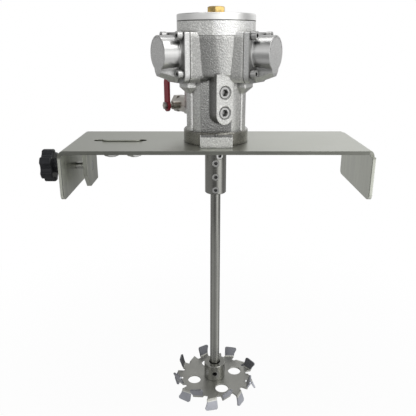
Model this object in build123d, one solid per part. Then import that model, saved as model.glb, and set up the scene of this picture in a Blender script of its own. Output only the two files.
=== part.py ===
"""Pneumatic drum mixer: a three-cylinder radial air motor on a clamping plate, driving a toothed disc.

Millimetres, +Z up. The origin is on the shaft axis, level with the plate's underside, which rests on
the drum's rim. +X points to the fixed lip and -Y to the front, where the two port plugs are.
"""
import os
from math import cos, radians, sin, sqrt, tan

from build123d import *

# Clearances
touch = 0.02            # radial gap of a piece seated in a piece that it stays with
running = 0.03          # radial gap of a shaft in its bush
sliding = 0.3           # gap of the jaw under the plate, and of other pieces that pass freely
past = 1.0              # how far a cut, or a piece joined to another, runs past a face
edge_break = 0.5        # chamfer that takes the sharpness off a turned edge

# Mounting plate
plate_thickness = 4.0
plate_span = 334.0      # over the outsides of the two lips
plate_depth = 120.0
lip_drop = 50.0         # from the plate's underside to the lips' edge
bend_inside = 3.0
lip_corner = 6.0
relief_depth = 5.5      # notch at each end of the fixed lip's bend
relief_drop = 3.0
shaft_hole = 16.0

# Sliding jaw
jaw_setback = 18.6      # gripping face at rest, from the inside of the lip
jaw_thickness = 5.0
jaw_width = 50.0
jaw_drop = 47.0
jaw_chamfer_across = 12.0
jaw_chamfer_up = 15.0
jaw_bend_inside = 2.0
jaw_travel_out = 13.0
jaw_travel_in = 8.5
stud_radius = 5.0
stud_setback = 23.4     # from the gripping face to the first stud
stud_spacing = 26.5
stud_tail = 1.2         # thread past the nut
strap_width = 14.0
strap_thickness = 1.5
strap_overhang = 10.0
leg_overhang = 12.5
slot_gap = 0.3          # stud in slot, each side
slot_end_gap = 1.5      # past the studs at the ends of the travel
washer_radius = 10.0
washer_thickness = 2.0
nut_across_flats = 16.0
nut_height = 6.2
nut_chamfer = 1.0

# Clamp screw and knob
screw_height = -25.5
screw_radius = 4.0
journal_radius = 3.0
retainer_radius = 5.0
retainer_thickness = 1.6
retainer_recess = 0.2
lip_nut_across_flats = 15.0
lip_nut_height = 5.0
knob_radius = 19.0
knob_lobes = 6
knob_scallop_radius = 7.0
knob_scallop_circle_radius = 22.3
knob_thickness = 14.0
knob_round = 2.0
knob_hub_radius = 8.5
knob_hub_length = 6.5
knob_stop_gap = 0.5     # between hub and lip nut with the jaw fully in
screw_in_knob = 12.0

# Motor casing
column_radius = 33.0
column_flat_width = 33.0
rib_width = 11.0        # upright rib on the column under each cylinder
rib_face = 35.4         # its outer face, from the shaft axis
rib_round = 2.5
gusset_drop = 35.5      # shoulder of the gusset on a rib, below the bores' axis
gusset_slope = 6.2      # height of its sloping part
gusset_face = 41.5
gusset_width = 20.0
gusset_round = 2.5
base_radius = 36.5
base_height = 15.0
base_chamfer = 1.2
lug_width = 35.0
lug_front = 44.4
lug_height = 11.5
lug_groove = 1.2        # dip between the lug's top and the base
lug_nub_radius = 1.8
spigot_radius = 15.8
spigot_depth = 3.0
drum_depth = 25.0       # drum's underside below the bores' axis
drum_bottom_radius = 38.2
drum_round = 5.0
ledge_radius = 41.5
chamber_radius = 42.5
chamber_wall = 8.0
chamber_height = 14.1   # above the ledge that the valve housing stands on

# Cylinders
right_cylinder_angle = -30.0
left_cylinder_angle = -150.0
back_cylinder_angle = 90.0
bore_height = 101.0
bore_radius = 14.0
liner_wall = 1.5
liner_roof = 1.8        # casing between the liners and the ledge
liner_inner_end = 27.0
flange_face = 44.2      # casing's flange, from the motor's axis
flange_width = 47.0
flange_up = 20.5        # above the bore's axis
flange_down = 30.2
flange_round = 9.0
flange_top_round = 1.5
gasket_thickness = 0.8
cap_flange = 6.0
cap_radius = 17.65
cap_reach = 70.5
cap_end_wall = 4.3
cap_edge_round = 0.8
cap_root_round = 2.4
wedge_top = 12.0        # depths of the air passage wedge are below the bore's axis
wedge_root_half = 11.3  # half widths at the flange: sides, then floor
wedge_root_floor = 6.0
wedge_root_shoulder = 25.0
wedge_root_depth = 29.9
wedge_tip_half = 9.5    # the same at the cap's end, where the sides draw in
wedge_tip_waist = 7.0
wedge_tip_floor = 3.0
wedge_tip_shoulder = 19.0
wedge_tip_depth = 23.0
cap_screw_across = 18.0
cap_screw_up = 17.0
cap_screw_down = 20.5
cap_screw_radius = 2.5
cap_screw_length = 12.0
cap_screw_head_radius = 4.25
cap_screw_head = 5.0
cap_screw_washer = 1.4
cap_screw_washer_radius = 3.9
cap_screw_socket = 4.0
drill_tail = 2.0        # tapped hole past its screw's end

# Front and rear port bosses
boss_angle = -60.0
boss_reach = 36.5
boss_offset = 10.3
boss_radius = 10.5
boss_bottom = 27.6
boss_sink = 4.0         # how far a boss runs up into the drum
lower_port_height = 40.0
port_spacing = 21.2
port_radius = 6.58
port_depth = 14.0
port_seat_radius = 7.3
port_seat_depth = 0.9
plug_length = 9.0
plug_recess = 0.5
plug_chamfer = 0.8
plug_socket = 7.0
plug_socket_depth = 5.0

# Top cover and its plug
cover_seal = 0.8
cover_thickness = 6.8
cover_recess = 3.8
cover_recess_radius = 32.5
cover_spigot_depth = 6.0
cover_round = 1.4
cover_screw_count = 6
cover_screw_circle_radius = 37.8
cover_screw_radius = 1.5
cover_screw_head_radius = 2.9
cover_screw_length = 18.0
cover_screw_socket = 2.0
top_plug_across_flats = 17.6
top_plug_height = 7.7
top_plug_turn = -97.0
top_plug_chamfer = 1.1

# Shaft line inside the motor
seal_radius = 13.0
seal_bottom = 5.0
seal_height = 7.0
seal_lip = 1.0
seal_back = 2.0
lower_race_radius = 16.0
lower_bearing_bottom = 14.0
lower_bearing_height = 9.0
upper_race_radius = 17.5
upper_bearing_drop = 8.0    # its top below the crank case's floor
upper_bearing_height = 10.0
race_wall = 3.0
shield_inset = 0.3
shield_thickness = 1.0
shaft_radius = 7.0
shaft_way = 8.5         # hole in the casing's spigot
lower_journal = 7.5
collar_radius = 9.5
upper_journal = 8.5
neck_radius = 10.0
shaft_tail = 28.0       # below the plate's underside
column_bore = 16.4
crank_chamber_radius = 28.5
web_floor_gap = 2.0
web_thickness = 8.0
web_ring_gap = 1.0
web_pin_side = 12.0
counterweight_radius = 22.0
crank_throw = 7.0
pin_radius = 7.0
pin_tail = 1.0          # crank pin past the drive ring
bush_wall = 2.5
bush_inset = 0.5
ring_radius = 13.0
ring_height = 20.0

# Rotary valve
valve_radius = 12.0
valve_neck_radius = 9.0
valve_gap = 0.2
valve_recess = 1.3      # valve's top below its housing's
valve_groove_rise = 8.7     # groove's middle above the valve's shoulder
valve_groove_depth = 3.0
valve_groove_height = 6.0
housing_flange = 5.0
housing_sleeve_radius = 17.0
housing_cover_gap = 2.7
housing_port_radius = 2.5
drive_pin_radius = 2.0
drive_pin_depth = 6.0
drive_pin_rise = 4.6
drive_pin_gap = 0.2     # at each end

# Pistons
piston_clearance = 0.07
crown_gap = 1.2         # between crown and head with the crank pin straight behind
piston_skirt = 24.0
piston_stem_radius = 6.0
foot_gap = 0.05
foot_thickness = 4.0
foot_half_width = 10.0
foot_half_height = 9.0
foot_round = 2.0
piston_ring_depth = 2.0
piston_ring_height = 2.5
piston_ring_setback = 4.0
piston_ring_clearance = 0.03
piston_ring_back = 0.1  # gap behind the ring

# Coupling, rod and dispersing disc
coupling_radius = 12.5
coupling_top = -2.0
coupling_bottom = -58.0
coupling_chamfer = 0.8
rod_radius = 6.0
rod_gap = 2.0           # between shaft and rod inside the coupling
set_screw_radius = 4.0
set_screw_socket = 4.0
set_screw_heights = (-12.0, -20.7, -37.0, -52.8)
set_screw_turns = (-67.0, -90.0, -90.0, -90.0)
set_screw_recess = 0.6
set_screw_socket_depth = 2.5
set_screw_gap = 0.1     # before the shaft or rod
disc_height = -318.5
disc_thickness = 2.0
disc_root_radius = 42.5
disc_bend_radius = 48.0
disc_hole_radius = 8.5
disc_hole_circle_radius = 28.6
disc_hole_turn = 18.5
tooth_count = 16
tooth_turn = 18.0
tooth_base_width = 11.8
tooth_flare = 6.2
tooth_length = 15.0
tooth_lean = 20.0
tooth_twist = 23.0      # of the bend's line from the tangent, flared side outwards
tooth_droop = 1.6       # flared corner below the other
tooth_corner = 2.5
hub_radius = 13.75
hub_height = 22.0
hub_chamfer = 1.5
hub_screw_radius = 3.0
hub_screw_turn = -90.0
hub_screw_socket = 3.0
hub_screw_recess = 2.0

# Bolts that hold the motor to the plate
motor_bolt_circle_radius = 27.0
motor_bolt_radius = 3.0
motor_bolt_depth = 12.0
motor_bolt_across_flats = 10.0
motor_bolt_head = 4.0
motor_washer_radius = 6.0
motor_washer_thickness = 1.6

# Inlet hand valve and exhaust silencer, in the rear boss
valve_hex = 19.0
valve_hex_length = 10.0
valve_barrel_radius = 9.5
valve_length = 38.0
valve_bore = 4.0
inlet_thread_radius = 5.72
inlet_thread_depth = 10.0
ball_radius = 7.0
ball_gap = 0.05
stem_radius = 3.0
stem_boss_radius = 5.0
stem_boss_reach = 17.5
stem_tail = 0.5         # past the nut
lever_setback = 22.5    # lever's inner face from the valve's axis
lever_thickness = 2.5
lever_width = 11.5
lever_length = 38.0
lever_hub_radius = 7.0
stem_nut_height = 3.0
stem_nut_across_flats = 8.0
silencer_hex = 16.0
silencer_flange = 4.0
silencer_dome_radius = 6.0
silencer_dome_length = 5.0

# Places worked out from the sizes above, along the plate
half_span = plate_span / 2
lip_inside = half_span - plate_thickness
jaw_face = jaw_setback - lip_inside
jaw_back = jaw_face - jaw_thickness
stud_places = [jaw_face + stud_setback, jaw_face + stud_setback + stud_spacing]
leg_top = -sliding
leg_bottom = leg_top - jaw_thickness
nut_bottom = leg_bottom - washer_thickness - nut_height
slot_start = stud_places[0] - stud_radius - jaw_travel_out - slot_end_gap
slot_end = stud_places[1] + stud_radius + jaw_travel_in + slot_end_gap
slot_half = stud_radius + slot_gap
lip_nut_end = -half_span - lip_nut_height
knob_hub_end = lip_nut_end - jaw_travel_in - knob_stop_gap
knob_inner = knob_hub_end - knob_hub_length

# Places worked out up the motor
cylinder_angles = {"right": right_cylinder_angle, "left": left_cylinder_angle, "back": back_cylinder_angle}
casing_bottom = plate_thickness
lug_top = casing_bottom + lug_height
flat_face_y = -sqrt(column_radius**2 - (column_flat_width / 2)**2)
liner_radius = bore_radius + liner_wall
ledge_height = bore_height + liner_radius + liner_roof
chamber_top = ledge_height + chamber_height
counterbore_radius = chamber_radius - chamber_wall
cover_bottom = chamber_top + cover_seal
cover_top = cover_bottom + cover_thickness
drum_bottom = bore_height - drum_depth
boss_top = drum_bottom + boss_sink
port_heights = (lower_port_height, lower_port_height + port_spacing)
gusset_shoulder = bore_height - gusset_drop
gusset_foot = gusset_shoulder - gusset_slope
gasket_face = flange_face + gasket_thickness
cap_face = gasket_face + cap_flange
liner_outer_end = cap_reach - cap_end_wall
piston_crown = liner_outer_end - crown_gap - crank_throw     # from the crank pin's axis

# Places worked out inside the motor
pin_y = crank_throw
ring_bottom = bore_height - ring_height / 2
ring_top = ring_bottom + ring_height
pin_top = ring_top + pin_tail
web_top = ring_bottom - web_ring_gap
web_bottom = web_top - web_thickness
crank_chamber_bottom = web_bottom - web_floor_gap
upper_bearing_top = crank_chamber_bottom - upper_bearing_drop
upper_bearing_bottom = upper_bearing_top - upper_bearing_height
lower_bearing_top = lower_bearing_bottom + lower_bearing_height
housing_top = cover_bottom + cover_recess - housing_cover_gap
valve_bottom = pin_top + valve_gap
valve_shoulder = ledge_height + valve_gap
valve_top = housing_top - valve_recess

# Places worked out on the disc and the hand valve
disc_top = disc_height + disc_thickness / 2
disc_bottom = disc_height - disc_thickness / 2
valve_centre = valve_length / 2


def unit(angle):
    """Direction in the XY plane at an angle in degrees."""
    return cos(radians(angle)), sin(radians(angle))


def disc(radius, low, high, x=0.0, y=0.0):
    """Upright cylinder between two heights."""
    return Pos(x, y, low) * Cylinder(radius, high - low, align=(Align.CENTER, Align.CENTER, Align.MIN))


def tube(outer, inner, low, high, x=0.0, y=0.0):
    """Upright tube between two heights."""
    return disc(outer, low, high, x, y) - disc(inner, low - past, high + past, x, y)


def block(x_span, y_span, z_span):
    """Box given by its low and high values along each axis."""
    spans = (x_span, y_span, z_span)
    size = [high - low for low, high in spans]
    middle = [(high + low) / 2 for low, high in spans]
    return Pos(*middle) * Box(*size)


def facing(angle, height, reach=0.0, offset=0.0):
    """Plane whose Z points out from the shaft axis at an angle, with its X along the tangent and Y up."""
    out_x, out_y = unit(angle)
    origin = (reach * out_x - offset * out_y, reach * out_y + offset * out_x, height)
    return Plane(origin=origin, x_dir=(-out_y, out_x, 0), z_dir=(out_x, out_y, 0))


def peg(plane, radius, start, end, x=0.0, y=0.0):
    """Cylinder along a plane's Z, from start to end."""
    return extrude(plane.offset(start) * Pos(x, y) * Circle(radius), amount=end - start)


def hexagon(across_flats):
    """Hexagon sketch of a given width across its flats, with a corner on X."""
    return RegularPolygon(across_flats / 2, 6, major_radius=False)


def corner_radius(across_flats):
    """Distance of a hexagon's corners from its middle."""
    return across_flats / 2 / cos(radians(30))


def edges_in(solid, plane):
    """Edges of a solid that lie in a plane."""
    return solid.edges().filter_by(lambda edge: abs(plane.to_local_coords(edge.center()).Z) < touch / 2)


def gathered(solids):
    """Several separate solids as one node."""
    return Compound(children=list(solids))


def mount_plate():
    """Flat plate with both ends bent down; slotted for the jaw and drilled for the motor."""
    height = lip_drop + plate_thickness
    outer = Pos(0, plate_thickness - height / 2) * Rectangle(plate_span, height)
    outer = fillet(outer.vertices().group_by(Axis.Y)[-1], bend_inside + plate_thickness)
    inner = Pos(0, -height / 2) * Rectangle(2 * lip_inside, height)
    inner = fillet(inner.vertices().group_by(Axis.Y)[-1], bend_inside)
    plate = extrude(Plane.XZ * (outer - inner), amount=plate_depth / 2, both=True)
    side = Pos(0, plate_thickness - height / 2) * Rectangle(plate_depth, height)
    side = fillet(side.vertices().group_by(Axis.Y)[0], lip_corner)
    plate &= extrude(Plane.YZ * side, amount=half_span, both=True)
    notch_x = (lip_inside - bend_inside, half_span + past)
    notch_z = (-relief_drop, plate_thickness + past)
    for edge in (-1, 1):
        notch_y = sorted((edge * (plate_depth / 2 - relief_depth), edge * (plate_depth / 2 + past)))
        plate -= block(notch_x, notch_y, notch_z)
    slot_middle = (slot_start + slot_end) / 2
    slot = Pos(slot_middle, 0, plate_thickness / 2) * SlotOverall(slot_end - slot_start, 2 * slot_half)
    plate -= extrude(slot, amount=plate_thickness, both=True)
    plate -= disc(shaft_hole, -past, plate_thickness + past)
    for spot in PolarLocations(motor_bolt_circle_radius, 4, start_angle=45):
        plate -= spot * disc(motor_bolt_radius + sliding, -past, plate_thickness + past)
    screw_way = Plane(origin=(-half_span, 0, screw_height), z_dir=(1, 0, 0))
    return plate - peg(screw_way, screw_radius + running + touch, -past, plate_thickness + past)


def lip_nut():
    """Weld nut on the outside of the left lip, which the clamp screw runs in."""
    start = Plane(origin=(lip_nut_end, 0, screw_height), x_dir=(0, 0, 1), z_dir=(1, 0, 0))
    nut = extrude(start * hexagon(lip_nut_across_flats), amount=lip_nut_height)
    return nut - peg(start, screw_radius + running + touch, -past, lip_nut_height + past)


def clamp_jaw():
    """Bent jaw: a leg that slides under the plate and a face that grips the drum's wall."""
    leg_end = stud_places[1] + leg_overhang
    drop = jaw_drop + leg_top
    outline = Pos((jaw_back + leg_end) / 2, leg_top - drop / 2) * Rectangle(leg_end - jaw_back, drop)
    open_end = leg_end + past
    hollow = Pos((jaw_face + open_end) / 2, leg_bottom - drop / 2) * Rectangle(open_end - jaw_face, drop)
    outer_bend = outline.vertices().group_by(Axis.Y)[-1].sort_by(Axis.X)[0]
    outline = fillet(outer_bend, jaw_bend_inside + jaw_thickness)
    hollow = fillet(hollow.vertices().group_by(Axis.Y)[-1].sort_by(Axis.X)[0], jaw_bend_inside)
    jaw = extrude(Plane.XZ * (outline - hollow), amount=jaw_width / 2, both=True)
    half = jaw_width / 2
    low = -jaw_drop
    corner = Polyline((-half - past, low - past), (-half - past, low + jaw_chamfer_up),
                      (-half, low + jaw_chamfer_up), (-half + jaw_chamfer_across, low),
                      (-half + jaw_chamfer_across, low - past), close=True)
    cut = extrude(Plane.YZ * make_face(corner), amount=jaw_thickness, both=True)
    jaw -= Pos((jaw_back + jaw_face) / 2) * cut
    back_corner = jaw.edges().filter_by(Axis.X).filter_by(
        lambda edge: abs(edge.center().Z - low) < touch and edge.center().Y > 0)
    jaw = fillet(back_corner, jaw_bend_inside)
    for place in stud_places:
        jaw -= disc(stud_radius + touch, leg_bottom - past, leg_top + past, place)
    way = Plane(origin=(jaw_back, 0, screw_height), z_dir=(1, 0, 0))
    jaw -= peg(way, journal_radius + running, -past, jaw_thickness + past)
    pocket = jaw_thickness - retainer_thickness - retainer_recess - sliding
    return jaw - peg(way, retainer_radius + sliding, pocket, jaw_thickness + past)


def guide_strap():
    """Strap on top of the plate with two studs that run in the slot and carry the jaw."""
    start = stud_places[0] - strap_overhang
    end = stud_places[1] + strap_overhang
    strap = Pos((start + end) / 2, 0, plate_thickness + sliding) * SlotOverall(end - start, strap_width)
    strap = extrude(strap, amount=strap_thickness)
    for place in stud_places:
        strap += disc(stud_radius, nut_bottom - stud_tail, plate_thickness + sliding + touch, place)
    return strap


def guide_washers():
    """Two washers under the jaw's leg."""
    low = leg_bottom - washer_thickness
    return gathered(tube(washer_radius, stud_radius + touch, low, leg_bottom, place) for place in stud_places)


def guide_nuts():
    """Two nuts on the studs, each turned its own way."""
    nuts = []
    blank = extrude(hexagon(nut_across_flats), amount=nut_height)
    for place, turn in zip(stud_places, (12, 30)):
        nut = Pos(place, 0, nut_bottom) * Rot(0, 0, turn) * blank
        corner = disc(corner_radius(nut_across_flats), nut_bottom, nut_bottom + nut_height, place)
        nut &= chamfer(corner.edges().group_by(Axis.Z)[0], nut_chamfer)
        nuts.append(nut - disc(stud_radius + touch, nut_bottom - past, leg_bottom, place))
    return gathered(nuts)


def clamp_screw():
    """Screw from the knob through the lip to the jaw, with a turned end."""
    start = Plane(origin=(knob_inner - screw_in_knob, 0, screw_height), z_dir=(1, 0, 0))
    shoulder = jaw_back - running - (knob_inner - screw_in_knob)
    screw = peg(start, screw_radius, 0, shoulder)
    screw = chamfer(screw.edges().group_by(Axis.X)[0], edge_break)
    end = shoulder + running + jaw_thickness - retainer_recess
    return screw + peg(start, journal_radius, shoulder - touch, end)


def screw_retainer():
    """Washer riveted on the screw's end, flush in the jaw's face."""
    start = Plane(origin=(jaw_face - retainer_recess, 0, screw_height), z_dir=(1, 0, 0))
    washer = peg(start, retainer_radius, -retainer_thickness, 0)
    return washer - peg(start, journal_radius + touch, -retainer_thickness - past, past)


def star_knob():
    """Six-lobed hand knob with a round hub towards the lip."""
    start = Plane(origin=(knob_inner, 0, screw_height), x_dir=(0, 1, 0), z_dir=(-1, 0, 0))
    outline = Circle(knob_radius)
    for spot in PolarLocations(knob_scallop_circle_radius, knob_lobes):
        outline -= spot * Circle(knob_scallop_radius)
    outline = fillet(outline.vertices(), knob_round)
    knob = extrude(start * outline, amount=knob_thickness)
    knob = fillet(knob.edges().group_by(Axis.X)[0] + knob.edges().group_by(Axis.X)[-1], knob_round)
    knob += peg(start, knob_hub_radius, -knob_hub_length, touch)
    return knob - peg(start, screw_radius + touch, -knob_hub_length - past, screw_in_knob)


def flange_outline():
    """Outline of a head's flange, which the casing's block shares."""
    middle = (flange_up - flange_down) / 2
    section = Pos(0, middle) * Rectangle(flange_width, flange_up + flange_down)
    section = fillet(section.vertices().group_by(Axis.Y)[0], flange_round)
    return fillet(section.vertices().group_by(Axis.Y)[-1], flange_top_round)


def cylinder_block(angle):
    """Cast block round one cylinder, with rounded lower corners."""
    return extrude(facing(angle, bore_height) * flange_outline(), amount=flange_face)


def column_rib(angle):
    """Upright rib on the column, with the gusset that widens from it to carry a cylinder block."""
    inside = column_radius / 2
    rib = block((inside, rib_face), (-rib_width / 2, rib_width / 2), (casing_bottom, gusset_foot + touch))
    rib = fillet(rib.edges().filter_by(Axis.Z).group_by(Axis.X)[-1], rib_round)
    foot = Pos((inside + rib_face) / 2, 0, gusset_foot) * Rectangle(rib_face - inside, rib_width)
    shoulder = Rectangle(gusset_face - inside, gusset_width)
    shoulder = Pos((inside + gusset_face) / 2, 0, gusset_shoulder) * shoulder
    gusset = loft([foot, shoulder]) + extrude(shoulder, amount=drum_bottom - gusset_shoulder)
    outer = gusset.edges().filter_by(lambda edge: edge.center().X > rib_face and abs(edge.center().Y) > past)
    outer = outer.filter_by(lambda edge: edge.center().Z < drum_bottom - past)
    return Rot(0, 0, angle) * (rib + fillet(outer, gusset_round))


def port_boss(angle, side):
    """Cast boss with a rounded foot that carries two ports, off to one side of its direction."""
    plane = facing(angle, 0, boss_reach, side * boss_offset)
    foot = boss_bottom + boss_radius
    outline = Pos(0, foot) * Circle(boss_radius)
    outline += Pos(0, (foot + boss_top) / 2) * Rectangle(2 * boss_radius, boss_top - foot)
    return extrude(plane * outline, amount=column_bore - boss_reach)


def motor_casing():
    """One casting: base with its lug, column, crank case with three cylinder blocks, and valve chamber."""
    casing = disc(column_radius, casing_bottom, bore_height)
    front = (-column_radius - past, flat_face_y)
    casing -= block((-column_flat_width, column_flat_width), front, (casing_bottom - past, bore_height))
    base = disc(base_radius, casing_bottom, casing_bottom + base_height)
    casing += chamfer(base.edges().group_by(Axis.Z)[-1], base_chamfer)
    lug = Polyline((0, casing_bottom), (-lug_front, casing_bottom), (-lug_front, lug_top),
                   (-base_radius - lug_groove, lug_top - lug_groove), (-base_radius, lug_top + lug_groove),
                   (0, lug_top + lug_groove), close=True)
    casing += extrude(Plane.YZ * make_face(lug), amount=lug_width / 2, both=True)
    casing += disc(lug_nub_radius, lug_top - lug_groove - past, casing_bottom + base_height - base_chamfer,
                   0, -base_radius)
    drum = Polyline((0, drum_bottom), (drum_bottom_radius, drum_bottom), (ledge_radius, ledge_height),
                    (0, ledge_height), close=True)
    drum = revolve(Plane.XZ * make_face(drum), Axis.Z)
    casing += fillet(drum.edges().group_by(Axis.Z)[0], drum_round)
    for angle in cylinder_angles.values():
        casing += cylinder_block(angle) + column_rib(angle)
    casing += disc(chamber_radius, ledge_height, chamber_top)
    casing += port_boss(boss_angle, -1)
    casing += port_boss(boss_angle + 180, 1)
    casing += disc(spigot_radius, casing_bottom - spigot_depth, casing_bottom)
    # Shaft line, from the bottom up
    casing -= disc(shaft_way, casing_bottom - spigot_depth - past, seal_bottom + past)
    casing -= disc(seal_radius, seal_bottom, lower_bearing_bottom)
    casing -= disc(lower_race_radius, lower_bearing_bottom, lower_bearing_top)
    casing -= disc(column_bore, lower_bearing_top, upper_bearing_bottom)
    casing -= disc(upper_race_radius, upper_bearing_bottom, crank_chamber_bottom)
    casing -= disc(crank_chamber_radius, crank_chamber_bottom, ledge_height + past)
    casing -= disc(counterbore_radius, ledge_height, chamber_top + past)
    for angle in cylinder_angles.values():
        plane = facing(angle, bore_height)
        casing -= peg(plane, liner_radius, 0, flange_face + past)
        for x, y in cap_screw_places():
            drill_end = flange_face - cap_screw_length - drill_tail
            casing -= peg(plane, cap_screw_radius + touch, drill_end, flange_face + past, x, y)
    for spot in cover_screw_spots():
        drill_end = cover_top - cover_screw_length - drill_tail
        casing -= spot * disc(cover_screw_radius + touch, drill_end, chamber_top + past)
    for angle, side in ((boss_angle, -1), (boss_angle + 180, 1)):
        for height in port_heights:
            port = facing(angle, height, boss_reach, side * boss_offset)
            casing -= peg(port, port_radius, -port_depth, past)
            casing -= peg(port, port_seat_radius, -port_seat_depth, past)
    for spot in PolarLocations(motor_bolt_circle_radius, 4, start_angle=45):
        drill_end = casing_bottom + motor_bolt_depth + past
        casing -= spot * disc(motor_bolt_radius + touch, casing_bottom - past, drill_end)
    return casing


def cap_screw_places():
    """Places of the four screws of a cylinder head, from the bore's axis."""
    return [(x, y) for x in (-cap_screw_across, cap_screw_across) for y in (cap_screw_up, -cap_screw_down)]


def cap_gasket(angle):
    """Flat gasket between the casing and a cylinder head."""
    plane = facing(angle, bore_height)
    sheet = extrude(plane.offset(flange_face) * flange_outline(), amount=gasket_thickness)
    sheet -= peg(plane, liner_radius + touch, flange_face - past, gasket_face + past)
    for x, y in cap_screw_places():
        sheet -= peg(plane, cap_screw_radius + sliding, flange_face - past, gasket_face + past, x, y)
    return sheet


def wedge_section(half, waist, floor, shoulder, depth):
    """Section of the passage wedge: sides down to the shoulder, then in to the floor."""
    right = [(half, -wedge_top), (waist, -shoulder), (floor, -depth)]
    left = [(-x, y) for x, y in reversed(right)]
    return make_face(Polyline(*right, *left, close=True))


def cylinder_cap(angle):
    """Cylinder head: flange, round cap and the air passage wedge under it."""
    plane = facing(angle, bore_height)
    cap = extrude(plane.offset(gasket_face) * flange_outline(), amount=cap_flange)
    dome = peg(plane, cap_radius, gasket_face, cap_reach)
    cap += fillet(edges_in(dome, plane.offset(cap_reach)), cap_edge_round)
    root = edges_in(cap, plane.offset(cap_face)).filter_by(GeomType.CIRCLE)
    cap = fillet(root.filter_by(lambda edge: abs(edge.radius - cap_radius) < touch), cap_root_round)
    near = wedge_section(wedge_root_half, wedge_root_half, wedge_root_floor, wedge_root_shoulder,
                         wedge_root_depth)
    far = wedge_section(wedge_tip_half, wedge_tip_waist, wedge_tip_floor, wedge_tip_shoulder, wedge_tip_depth)
    cap += loft([plane.offset(cap_face - touch) * near, plane.offset(cap_reach) * far])
    cap -= peg(plane, liner_radius + touch, gasket_face - past, liner_outer_end)
    for x, y in cap_screw_places():
        cap -= peg(plane, cap_screw_radius + sliding, gasket_face - past, cap_reach + past, x, y)
        cap -= peg(plane, cap_screw_head_radius + sliding, cap_face, cap_reach + past, x, y)
    return cap


def cap_screws():
    """Four socket head screws with spring washers on each of the three heads."""
    screws = []
    for angle in cylinder_angles.values():
        plane = facing(angle, bore_height)
        head_start = cap_face + cap_screw_washer
        for x, y in cap_screw_places():
            screw = peg(plane, cap_screw_radius, flange_face - cap_screw_length, head_start, x, y)
            screw += peg(plane, cap_screw_washer_radius, cap_face, head_start, x, y)
            screw += peg(plane, cap_screw_head_radius, head_start, head_start + cap_screw_head, x, y)
            socket = plane.offset(head_start + cap_screw_head) * Pos(x, y) * hexagon(cap_screw_socket)
            screws.append(screw - extrude(socket, amount=-cap_screw_head / 2))
    return gathered(screws)


def cylinder_liner(angle):
    """Steel liner from the crank case into the head."""
    plane = facing(angle, bore_height)
    liner = peg(plane, liner_radius, liner_inner_end, liner_outer_end - touch)
    liner -= peg(plane, bore_radius, liner_inner_end - past, liner_outer_end + past)
    chamber = disc(crank_chamber_radius, crank_chamber_bottom, ledge_height)
    return liner - (chamber - peg(plane, liner_radius + past, liner_inner_end, cap_reach))


def port_plugs():
    """Two hexagon socket plugs in the front boss."""
    plugs = []
    for height in port_heights:
        port = facing(boss_angle, height, boss_reach, -boss_offset)
        plug = peg(port, port_radius - touch, -plug_recess - plug_length, -plug_recess)
        plug = chamfer(edges_in(plug, port.offset(-plug_recess)), plug_chamfer)
        socket = port.offset(-plug_recess) * hexagon(plug_socket)
        plugs.append(plug - extrude(socket, amount=-plug_socket_depth))
    return gathered(plugs)


def top_cover():
    """Round cover, screwed into the valve chamber by its spigot."""
    cover = disc(chamber_radius, cover_bottom, cover_top)
    cover = fillet(cover.edges().group_by(Axis.Z)[-1], cover_round)
    spigot_bottom = cover_bottom - cover_spigot_depth
    cover += disc(counterbore_radius - touch, spigot_bottom, cover_bottom)
    cover -= disc(cover_recess_radius, spigot_bottom - past, cover_bottom + cover_recess)
    for spot in cover_screw_spots():
        cover -= spot * cover_screw_shape(sliding / 2)
    return cover - disc(port_radius, cover_bottom, cover_top + past)


def cover_screw_spots():
    """Places of the screws round the cover."""
    return PolarLocations(cover_screw_circle_radius, cover_screw_count, start_angle=180 / cover_screw_count)


def cover_screw_shape(play):
    """Countersunk screw, flush with the cover; play makes its shank larger for a clearance hole."""
    shank = disc(cover_screw_radius + play, cover_top - cover_screw_length, cover_top)
    depth = cover_screw_head_radius - cover_screw_radius
    upwards = (Align.CENTER, Align.CENTER, Align.MAX)
    head = Cone(cover_screw_radius, cover_screw_head_radius, depth, align=upwards)
    return shank + Pos(0, 0, cover_top) * head


def cover_screws():
    """Countersunk screws that hold the cover down."""
    socket = extrude(Plane.XY.offset(cover_top) * hexagon(cover_screw_socket), amount=-cover_screw_radius)
    return gathered(spot * (cover_screw_shape(0) - socket) for spot in cover_screw_spots())


def cover_gasket():
    """Ring between the valve chamber and the cover."""
    ring = tube(chamber_radius - sliding, counterbore_radius + touch, chamber_top, cover_bottom)
    for spot in cover_screw_spots():
        ring -= spot * disc(cover_screw_radius + sliding, chamber_top - past, cover_bottom + past)
    return ring


def top_plug():
    """Brass hexagon plug in the middle of the cover."""
    head = extrude(Plane.XY.offset(cover_top) * Rot(0, 0, top_plug_turn) * hexagon(top_plug_across_flats),
                   amount=top_plug_height)
    round_top = disc(corner_radius(top_plug_across_flats), cover_top, cover_top + top_plug_height)
    head &= chamfer(round_top.edges().group_by(Axis.Z)[-1], top_plug_chamfer, 2 * top_plug_chamfer)
    return head + disc(port_radius - touch, cover_bottom + cover_recess - past, cover_top)


def valve_housing():
    """Plate and sleeve that close the crank case and guide the rotary valve."""
    housing = disc(counterbore_radius - touch, ledge_height, ledge_height + housing_flange)
    housing += disc(housing_sleeve_radius, ledge_height, housing_top)
    housing -= disc(valve_radius + running, ledge_height - past, housing_top + past)
    height = valve_shoulder + valve_groove_rise
    for angle in cylinder_angles.values():
        port = facing(angle, height)
        housing -= peg(port, housing_port_radius, valve_radius - past, housing_sleeve_radius + past)
    return housing


def shaft_seal():
    """Lip seal under the lower bearing."""
    seal_top = seal_bottom + seal_height
    seal = tube(seal_radius - touch, shaft_radius + running, seal_bottom, seal_top)
    groove = tube(seal_radius - race_wall, shaft_radius + seal_lip, seal_bottom + seal_back, seal_top + past)
    return seal - groove


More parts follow.
